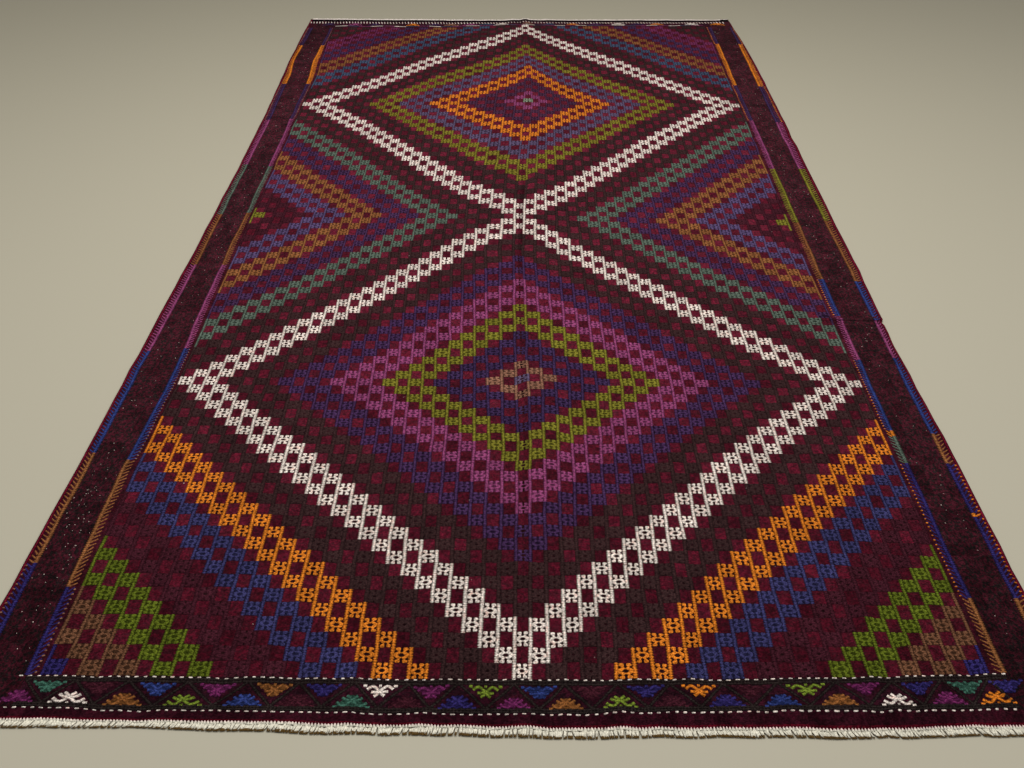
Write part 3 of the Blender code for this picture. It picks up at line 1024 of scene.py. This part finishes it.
def ground_material(name, first, second, size, contrast):
    """A flat weave with fine ribs, mottled from one colour to another."""
    material, tree, shader = new_material(name, WOOL_ROUGHNESS)
    place = attribute(tree, "plan", "Vector")
    along = along_axis(tree, place, "Y")
    share = ranged(tree, grain(tree, place, size, 3.0), 0.5 - contrast, 0.5 + contrast, 0.0, 1.0)
    threads = grain(tree, place, (2.6, 1.4))
    shade = product(tree, [
        ranged(tree, attribute(tree, "tone", "Fac"), 0.0, 1.0, 0.66, 1.28),
        # painted light and sheen along the rug
        *(ranged(tree, along, *stretch) for stretch in GROUND_PAINTED_LIGHT),
        ranged(tree, threads, 0.38, 0.62, 0.55, 1.45),
        ranged(tree, grain(tree, place, (5.0, 8.0)), 0.38, 0.62, 0.70, 1.24),       # small patches
        fold_shade(tree, place),
    ])
    colour_shader(tree, shader, mixed(tree, share, linear(first), linear(second)), shade)
    relief(tree, shader, threads, FIBRE_RELIEF)
    return material


GROUNDS = {
    # name: two screen colours, grain in millimetres, and how soft the change between them is
    "field_ground": ((78, 16, 30), (56, 18, 26), (7, 5), 0.10),
    # painted shade: the ground inside worked cells, seen only through narrow slits, is made much
    # darker
    "slit_ground": ((32, 14, 16), (40, 15, 19), (9, 5), 0.12),
    "side_ground": ((60, 14, 25), (42, 15, 21), (7, 9), 0.10),
    "border_ground": ((57, 17, 26), (25, 19, 19), (4, 6), 0.08),
    "band_ground": ((52, 15, 27), (34, 16, 22), (8, 5), 0.10),
    "strip_ground": ((52, 13, 24), (40, 13, 20), (9, 5), 0.12),
    "lip_ground": ((84, 10, 24), (70, 10, 22), (6, 3), 0.12),
    "far_strip_ground": ((13, 5, 7), (9, 4, 6), (9, 5), 0.12),
}
grounds = {name: ground_material(name, *facts) for name, facts in GROUNDS.items()}
print(len(grounds), "ground materials")

# %% The ground's plan columns and rows
def spread(first, last, count):
    """Evenly spread places, without the last one."""
    return list(np.linspace(first, last, count, endpoint=False))


SOFT_EDGE = 1.6                   # width of the rounded rim
LIP = 4                           # width of the bright weft at the near end
half_columns = spread(HALF_FIELD, INNER_LINE, 3) + spread(INNER_LINE, OUTER_LINE, 6)
half_columns += spread(OUTER_LINE, CLOTH_SIDE - SOFT_EDGE, 3) + [CLOTH_SIDE - SOFT_EDGE, CLOTH_SIDE]
field_columns = []
for col in range(COLUMNS):
    steps = 6 if abs(col - MIDDLE_COLUMN) <= 1 else 2       # finer under the old fold
    field_columns += spread(cord_x(col), cord_x(col + 1), steps)
ground_xs = [-x for x in reversed(half_columns)] + field_columns[1:] + half_columns
ground_ys = [NEAR_EDGE] + spread(NEAR_EDGE + SOFT_EDGE, NEAR_EDGE + LIP, 2)
ground_ys += spread(NEAR_EDGE + LIP, NEAR_DASHES, 2) + spread(NEAR_DASHES, 0, 6)
ground_ys += spread(0, FIELD_END, ROWS * 2) + spread(FIELD_END, FAR_STRIP, 6)
ground_ys += spread(FAR_STRIP, FAR_EDGE - SOFT_EDGE, 3) + [FAR_EDGE - SOFT_EDGE, FAR_EDGE]
print("ground:", len(ground_xs), "columns of points and", len(ground_ys), "rows")

# %% The ground's faces and zones
def ground_zone(x, y):
    """Which ground shows at a plan place."""
    if y < NEAR_DASHES:
        return "lip_ground" if y < NEAR_EDGE + LIP else "strip_ground"
    if y > FAR_STRIP:
        return "far_strip_ground"
    if abs(x) > OUTER_LINE:
        return "side_ground"
    if abs(x) > INNER_LINE:
        return "border_ground"
    if y < 0 or y > FIELD_END:
        return "band_ground"
    if abs(x) > HALF_FIELD:
        return "side_ground"
    worked = (math.floor((x + HALF_FIELD) / CORD_PITCH) + math.floor(y / ROW_PITCH)) % 2 == 0
    # worked cells get the darker ground of painted slit shade
    return "slit_ground" if worked else "field_ground"


wide, deep = len(ground_xs), len(ground_ys)
top = [(x, y, CLOTH_THICKNESS) for y in ground_ys for x in ground_xs]
faces, zones = [], []
names = list(grounds)
for j in range(deep - 1):
    for i in range(wide - 1):
        corner = j * wide + i
        faces.append((corner, corner + 1, corner + 1 + wide, corner + wide))
        centre = (ground_xs[i] + ground_xs[i + 1]) / 2, (ground_ys[j] + ground_ys[j + 1]) / 2
        zones.append(names.index(ground_zone(*centre)))
ground_mesh = bpy.data.meshes.new("ground_cloth")
ground_mesh.from_pydata(top, [], faces)
for material in grounds.values():
    ground_mesh.materials.append(material)
ground_mesh.polygons.foreach_set("material_index", zones)
print("ground top:", len(faces), "faces in", len(set(zones)), "zones")

# %% The ground's rim and underside
RIM_DROP = 0.8                    # how far the rim is rounded down
bm = bmesh.new()
bm.from_mesh(ground_mesh)
rim = [edge for edge in bm.edges if edge.is_boundary]
for edge in rim:
    for vert in edge.verts:
        vert.co.z = CLOTH_THICKNESS - RIM_DROP
for part in bmesh.ops.extrude_edge_only(bm, edges=rim)["geom"]:
    if isinstance(part, bmesh.types.BMVert):
        part.co.z = 0.0
hem = [edge for edge in bm.edges if edge.is_boundary]
underside = bmesh.ops.contextual_create(bm, geom=hem)["faces"]
for face in bm.faces:
    face.smooth = face not in underside
bmesh.ops.triangulate(bm, faces=underside, ngon_method="BEAUTY")
bmesh.ops.recalc_face_normals(bm, faces=bm.faces)
bm.to_mesh(ground_mesh)
bm.free()
lay_mesh(ground_mesh, lift=0.0, crown=CLOTH_THICKNESS)
ground = placed_object("ground_cloth", ground_mesh)
print("ground cloth:", len(ground_mesh.polygons), "faces")

# %% [markdown]
# ## Setting the pattern
# A weaver works with one yarn at a time, and so do we: each yarn becomes one piece. Its cords and
# lines go through the wrapping tree, its cells, ticks and motifs through the motif tree, and then
# everything is joined and laid down together. An object for each stitch would be slow to handle.
# The feet of all stitches are sunk a little into the ground so that no light passes under them.

# %% Joining and laying a piece
SINK = 0.1


def point_mesh(places):
    """A mesh of loose points."""
    mesh = bpy.data.meshes.new("points")
    mesh.from_pydata([(x, y, 0) for x, y in places], [], [])
    return mesh


def laid_piece(name, parts, material, lift=CLOTH_THICKNESS - SINK, crown=PATTERN_HEIGHT):
    """Join plan meshes, lay them down and make them one object."""
    bm = bmesh.new()
    for part in parts:
        bm.from_mesh(part)
        bpy.data.meshes.remove(part)
    for face in bm.faces:
        face.smooth = True
        face.material_index = 0
    mesh = bpy.data.meshes.new(name)
    bm.to_mesh(mesh)
    bm.free()
    mesh.materials.append(material)
    lay_mesh(mesh, lift, crown)
    return placed_object(name, mesh)


def repeated(motif, places, tilt, wander, seed, material):
    """One motif set on many places, each a little turned and a little larger or smaller."""
    return run_tree(motif_tree, point_mesh(places), Motif=motif, Tilt=tilt, Wander=wander,
                    Seed=seed, Yarn=material)


print("helpers:", [helper.__name__ for helper in (point_mesh, laid_piece, repeated)])

# %% One piece for each yarn
CORD_WIDTH, DARK_CORD_WIDTH = 9.6, 11.0
LINE_WIDTH, THIN_WIDTH = 11.6, 7.2
CORD_NOTCH = 0.36                 # how much thinner a cord is between two wraps


def stitched(yarn, material):
    """All the plan meshes worked in one yarn."""
    parts = []
    cord_width = DARK_CORD_WIDTH if yarn in DENSE_YARNS else CORD_WIDTH
    wraps = ((cords[yarn], cord_width), (lines[yarn], LINE_WIDTH), (thin_lines[yarn], THIN_WIDTH))
    for paths, width in wraps:
        if paths:
            parts.append(run_tree(wrap_tree, path_mesh(paths), Width=width, Depth=CORD_NOTCH,
                                  Yarn=material))
    repeats = [
        # motif, its places, how far it may turn, and how much its size may change
        (dense_cell if yarn in DENSE_YARNS else open_cell, cells[yarn], 0.035, 0.04),
        (tick_left, ticks[yarn, -1], 0.15, 0.15), (tick_right, ticks[yarn, 1], 0.15, 0.15),
        (dot, dots[yarn], 0.3, 0.25), (dash, dashes[yarn], 0.15, 0.2),
        (bird_motif, birds[yarn], 0.05, 0.05),
        (tree_motif, trees[yarn] + far_motifs[yarn], 0.05, 0.05),
    ]
    if yarn not in DENSE_YARNS + OPEN_YARNS:
        repeats.append((cell_filling, cells[yarn], 0.02, 0.02))
    if yarn in FILLED_YARNS:
        repeats.append((bird_filling, birds[yarn], 0.05, 0.05))
        repeats.append((tree_filling, trees[yarn], 0.05, 0.05))
    if yarn == "ivory":
        repeats.append((slant, slants, 0.1, 0.12))
    for seed, (motif, places, tilt, wander) in enumerate(repeats):
        if places:
            parts.append(repeated(motif, places, tilt, wander, seed, material))
    return parts


pattern = [laid_piece(yarn + "_pattern", stitched(yarn, material), material)
           for yarn, material in yarns.items()]
print("pattern pieces:", {piece.name: len(piece.data.polygons) for piece in pattern})

# %% [markdown]
# ## Lint
# Small specks of white warp and lint show on the dark borders and a few on the field. They are
# thickest near the near left corner. Bright dots in the ground's material would look flat, so each
# speck is a tiny patch, set by the motif tree on seeded random places.

# %% Specks
SPECK = [(-0.9, -0.4), (0.2, -0.8), (0.9, 0.1), (0.3, 0.7), (-0.7, 0.6)]
SPECK_HEIGHT, SPECK_TILT, SPECK_WANDER, SPECK_SEED = 0.5, 3.0, 0.4, 9
BORDER_SPECKS, CORNER_SPECKS, FIELD_SPECKS = 110, 60, 70
CORNER_Y, CORNER_SPREAD = 330, 120
speck = patch("speck", [SPECK], SPECK_HEIGHT, slope=0.3)
specks = [(side * chance.uniform(INNER_LINE + 8, OUTER_LINE - 8), chance.uniform(0, FIELD_END))
          for side in (-1, 1) for _ in range(BORDER_SPECKS)]
specks += [(-chance.uniform(INNER_LINE + 6, OUTER_LINE - 6), chance.normal(CORNER_Y, CORNER_SPREAD))
           for _ in range(CORNER_SPECKS)]
specks += [(chance.uniform(-HALF_FIELD, HALF_FIELD), chance.uniform(0, FIELD_END))
           for _ in range(FIELD_SPECKS)]
speck_wool = yarn_material("speck_wool", (190, 176, 164), foot=0.8)
speck_mesh = repeated(speck, specks, SPECK_TILT, SPECK_WANDER, SPECK_SEED, speck_wool)
lint = laid_piece("lint", [speck_mesh], speck_wool, lift=CLOTH_THICKNESS + 0.02, crown=SPECK_HEIGHT)
print(len(specks), "specks")

# %% [markdown]
# ## Selvedges and fringes
# Along both sides the weft turns round the outermost warps and makes a thin firm cord. At the
# ends the warps themselves come out and are cut off short: that is the fringe. At the near end
# they show as small teeth where they leave the cloth, pink from the red dye, and at the far right
# corner a dark tuft sticks out. Hair would be a common way to make a fringe, but its strands have
# no mesh to hand on. So a third node tree hangs thin cones on a line.
#
# One known fault is left in. A mesh cone stands on its origin and isn't centred on it, so the move
# by half its reach leaves the near strands about 4 mm clear of the cloth, and runs the far ones
# about 18 mm into it, with only about 11 mm past its end. Moving a strand by its reach where that
# is positive, and else not at all, would root both fringes on their line.

# %% Selvedge cords
SELVEDGE_WIDTH = 7.0
SIDE_INSET = 4                    # from the cloth's side to the middle of its cord
selvedge_wool = yarn_material("selvedge_wool", (98, 14, 34), OPEN_FOOT)
side_paths = [[(x, y) for y in np.linspace(NEAR_EDGE + 2, FAR_EDGE - 2, 60)]
              for x in (-CLOTH_SIDE + SIDE_INSET, CLOTH_SIDE - SIDE_INSET)]
side_cords = run_tree(wrap_tree, path_mesh(side_paths), Width=SELVEDGE_WIDTH, Yarn=selvedge_wool)
selvedge = laid_piece("selvedge_cords", [side_cords], selvedge_wool)
print("selvedge:", len(selvedge.data.polygons), "faces")

# %% The fringe tree: one strand
fringe_tree, given, result = new_tree("Hang strands on a line", {
    "Pitch": ("Float", 4.4), "Reach": ("Float", -16.0), "Thickness": ("Float", 3.6),
    "Slant": ("Float", 0.0006), "Stray": ("Float", 0.2), "Seed": ("Int", 3),
    "Yarn": ("Material", None),
})
half_reach = reckon(fringe_tree, "MULTIPLY", given["Reach"], 0.5)
strand = add(fringe_tree, "GeometryNodeMeshCone", [
    ("Vertices", 6), ("Depth", reckon(fringe_tree, "ABSOLUTE", given["Reach"])),
    ("Radius Top", reckon(fringe_tree, "MULTIPLY", given["Thickness"], 0.4)),
    ("Radius Bottom", reckon(fringe_tree, "MULTIPLY", given["Thickness"], 0.5))])
lying = add(fringe_tree, "GeometryNodeTransform", [
    ("Geometry", strand.outputs["Mesh"]), ("Rotation", (math.pi / 2, 0, 0)),
    ("Translation", vector(fringe_tree, Y=half_reach))])
print("one strand:", len(fringe_tree.nodes), "nodes")

# %% The fringe tree: strands on the line
paths = add(fringe_tree, "GeometryNodeMeshToCurve", [("Mesh", given["Geometry"])])
sampled = add(fringe_tree, "GeometryNodeResampleCurve", [
    ("Curve", paths.outputs[0]), ("Length", given["Pitch"])], mode="LENGTH")
where = add(fringe_tree, "GeometryNodeInputPosition").outputs[0]
fan = reckon(fringe_tree, "MULTIPLY", along_axis(fringe_tree, where, "X"), given["Slant"])
lean = random_value(fringe_tree, reckon(fringe_tree, "SUBTRACT", fan, given["Stray"]),
                    reckon(fringe_tree, "ADD", fan, given["Stray"]), given["Seed"])
stretch = random_value(fringe_tree, 0.84, 1.0, given["Seed"])
wear = add(fringe_tree, "ShaderNodeTexNoise", [("Vector", where), ("Scale", 0.09), ("Detail", 2.0)])
worn = ranged(fringe_tree, wear.outputs["Fac"], 0.3, 0.7, 0.78, 1.14)
cut = reckon(fringe_tree, "MULTIPLY", stretch, worn)
hung = add(fringe_tree, "GeometryNodeInstanceOnPoints", [
    ("Points", sampled.outputs[0]), ("Instance", lying.outputs[0]),
    ("Rotation", vector(fringe_tree, Z=lean)), ("Scale", vector(fringe_tree, X=1.0, Y=cut, Z=0.55))])
end_tree(fringe_tree, hung.outputs[0], given, result)

# %% The warp material
WARP_COLOUR = (226, 219, 198)
WARP_RELIEF = 0.0008              # metres


def warp_material(name, colour, low_colour, low_colour_until):
    """Warp yarn with painted shade in streaks between its strands; the second colour is where it lies
    low or before a plan y.
    """
    material, tree, shader = new_material(name, WOOL_ROUGHNESS)
    place = attribute(tree, "plan", "Vector")
    height = ranged(tree, attribute(tree, "rise", "Fac"), 0.0, 0.5, 0.0, 1.0)
    # painted shade: dark streaks between the strands
    painted_gap_shade = ranged(tree, grain(tree, place, (2.2, 9.0)), 0.40, 0.52, 0.72, 1.0)
    tufts = ranged(tree, grain(tree, place, (2.2, 2.8)), 0.38, 0.62, 0.74, 1.14)
    past_low_colour = ranged(tree, along_axis(tree, place, "Y"), low_colour_until, low_colour_until + 2.0, 0.0, 1.0)
    dyed = mixed(tree, product(tree, [height, past_low_colour]), linear(low_colour), linear(colour))
    colour_shader(tree, shader, dyed, product(tree, [painted_gap_shade, tufts]))
    relief(tree, shader, tufts, WARP_RELIEF)
    return material


# Near strands are brown on their low sides and at their tips, partly dirt and partly painted contact
# shadow. Far strands are a darker white where they lie low: painted shade. The teeth turn from pink to
# plain warp at their rim and front.
warp_yarn = warp_material("near_warp", WARP_COLOUR, (108, 82, 44), NEAR_TIPS - 1.0)
far_warp_yarn = warp_material("far_warp", (246, 230, 218), (206, 190, 176), 0.0)
tooth_yarn = warp_material("warp_tooth", (232, 200, 192), WARP_COLOUR, NEAR_EDGE - 2.0)
print("warp materials:", [warp.name for warp in (warp_yarn, far_warp_yarn, tooth_yarn)])

# %% Two fringes
ROOT_DEPTH = 3.0                  # the line they hang on lies this far inside the cloth
STRAND_LIFT, STRAND_CROWN = 1.4, 1.1
FIRST_SEED = 3
LAYERS = (
    # pitch, share of the full reach, thickness
    (3.0, 1.0, 3.2), (3.7, 0.95, 3.8),
)


def fringe(name, edge, tips, material):
    """Two layers of strands beside a cloth end."""
    start = edge + ROOT_DEPTH if tips < edge else edge - ROOT_DEPTH
    path = [(x, start) for x in np.linspace(-CLOTH_SIDE + SIDE_INSET, CLOTH_SIDE - SIDE_INSET, 120)]
    parts = []
    for layer, (pitch, share, thickness) in enumerate(LAYERS):
        parts.append(run_tree(fringe_tree, path_mesh([path]), Pitch=pitch, Yarn=material,
                              Reach=(tips - start) * share, Thickness=thickness,
                              Seed=FIRST_SEED + layer))
    return laid_piece(name, parts, material, STRAND_LIFT, STRAND_CROWN)


fringes = [fringe("near_fringe_strands", NEAR_EDGE, NEAR_TIPS, warp_yarn),
           fringe("far_fringe_strands", FAR_EDGE, FAR_TIPS, far_warp_yarn)]
print("fringes:", [len(piece.data.polygons) for piece in fringes], "faces")

# %% Teeth and tuft
TOOTH = [(-2.3, -4.0), (2.3, -4.0), (1.8, -0.6), (0.3, 1.6), (-0.5, 1.6), (-1.7, -0.6)]
TOOTH_PITCH, TOOTH_LIFT, TOOTH_CROWN = 4.6, 1.72, 0.6
TOOTH_TILT, TOOTH_WANDER, TOOTH_SEED = 0.1, 0.2, 4
TUFT_LIFT = 3.6
tooth = patch("tooth", [TOOTH], height=0.7, slope=0.4)
tooth_xs = np.arange(-CLOTH_SIDE + SIDE_INSET, CLOTH_SIDE - SIDE_INSET, TOOTH_PITCH)
tooth_row = repeated(tooth, [(x, NEAR_EDGE) for x in tooth_xs], TOOTH_TILT, TOOTH_WANDER,
                     TOOTH_SEED, tooth_yarn)
teeth = laid_piece("near_warp_teeth", [tooth_row], tooth_yarn, TOOTH_LIFT, TOOTH_CROWN)

tuft_path = [(CLOTH_SIDE - 44, FAR_EDGE - 3), (CLOTH_SIDE - 6, FAR_EDGE - 3)]
tuft_yarn = yarns["black_brown"]
tuft_strands = run_tree(fringe_tree, path_mesh([tuft_path]), Pitch=2.4, Reach=9.0, Thickness=3.0,
                        Stray=1.0, Seed=8, Yarn=tuft_yarn)
tuft = laid_piece("corner_tuft", [tuft_strands], tuft_yarn, TUFT_LIFT, STRAND_CROWN)
print(len(tooth_xs), "teeth, and a tuft of", len(tuft.data.polygons), "faces")

# %% [markdown]
# ## Floor, light and camera
# The rug lies on a plain pale floor under soft daylight from above and from the right. One broad
# lamp would leave the yarns flat, so a slanting sun with a wide disc gives them their shade, and
# the world and a lamp overhead fill it. The camera is the photograph's: 1.25 m above the floor and
# 0.9 m before the near end, looking down along the rug.

# %% Floor
FLOOR_SIZE, FLOOR_DEPTH = 14.0, -0.0004
NEAR_FLOOR, FAR_FLOOR = (176, 169, 149), (124, 117, 97)
bpy.ops.mesh.primitive_plane_add(size=FLOOR_SIZE, location=(0, 0, FLOOR_DEPTH))
floor = bpy.context.active_object
floor.name = "floor"
floor_material, tree, shader = new_material("pale_floor", roughness=0.6, shine=0.15)
away = along_axis(tree, add(tree, "ShaderNodeTexCoord").outputs["Object"], "Y")
# painted shade: the floor darkens towards the far end, where the light falls off
pale = mixed(tree, ranged(tree, away, -1.7, 4.3, 0.0, 1.0), linear(NEAR_FLOOR), linear(FAR_FLOOR))
tree.links.new(pale, shader.inputs["Base Color"])
floor.data.materials.append(floor_material)
print("floor:", FLOOR_SIZE, "m square")

# %% Lights
def new_light(name, kind, place, power):
    """A light that faces the middle of the rug."""
    lamp = bpy.data.lights.new(name, kind)
    lamp.energy = power
    light = placed_object(name, lamp)
    light.location = place
    light.rotation_euler = (-Vector(place)).to_track_quat("-Z", "Y").to_euler()
    return lamp


world = bpy.data.worlds.new("soft_room")
world.use_nodes = True
room_light = world.node_tree.nodes["Background"].inputs
room_light["Color"].default_value = (0.97, 0.98, 1.0, 1.0)
room_light["Strength"].default_value = 0.345
bpy.context.scene.world = world
new_light("window_light", "SUN", (3.0, 0.8, 2.4), 1.05).angle = math.radians(25)
new_light("ceiling_light", "AREA", (0.0, 0.1, 3.0), 82).size = 1.8
bpy.context.scene.view_settings.view_transform = "Standard"
print("lights:", [item.name for item in bpy.data.lights])

# %% Camera
CAMERA_PLACE = (5, -853, 1246)    # mm, in the measured frame of the tables
PITCH_DOWN, TURN_LEFT, ROLL = 36.31, 0.341, 0.33
camera = placed_object("camera", bpy.data.cameras.new("camera"))
camera.data.lens = 36.0
camera.data.sensor_width = 36.0
spot = Vector([place * MM + shift for place, shift in zip(CAMERA_PLACE, (*SHIFT, 0))])
camera.matrix_world = (
    Matrix.Translation(spot)
    @ Matrix.Rotation(math.radians(TURN_LEFT), 4, "Z")
    @ Matrix.Rotation(math.radians(90 - PITCH_DOWN), 4, "X")
    @ Matrix.Rotation(math.radians(ROLL), 4, "Z")
)
bpy.context.scene.camera = camera
print("camera at", [round(value, 3) for value in spot])

# %% [markdown]
# ## Handing the pieces to the frame
# Every piece rides on the rug's one body. The ground stands for the woven solid, and the strands
# for the two fringe solids.

# %% Ride and replace
for piece in [ground, selvedge, lint, tuft] + pattern:
    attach(piece, "root")
for piece in fringes + [teeth]:
    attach(piece, "root")
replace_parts(ground, "kilim_cloth")
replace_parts(fringes[0], "fringe_near")
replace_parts(fringes[1], "fringe_far")
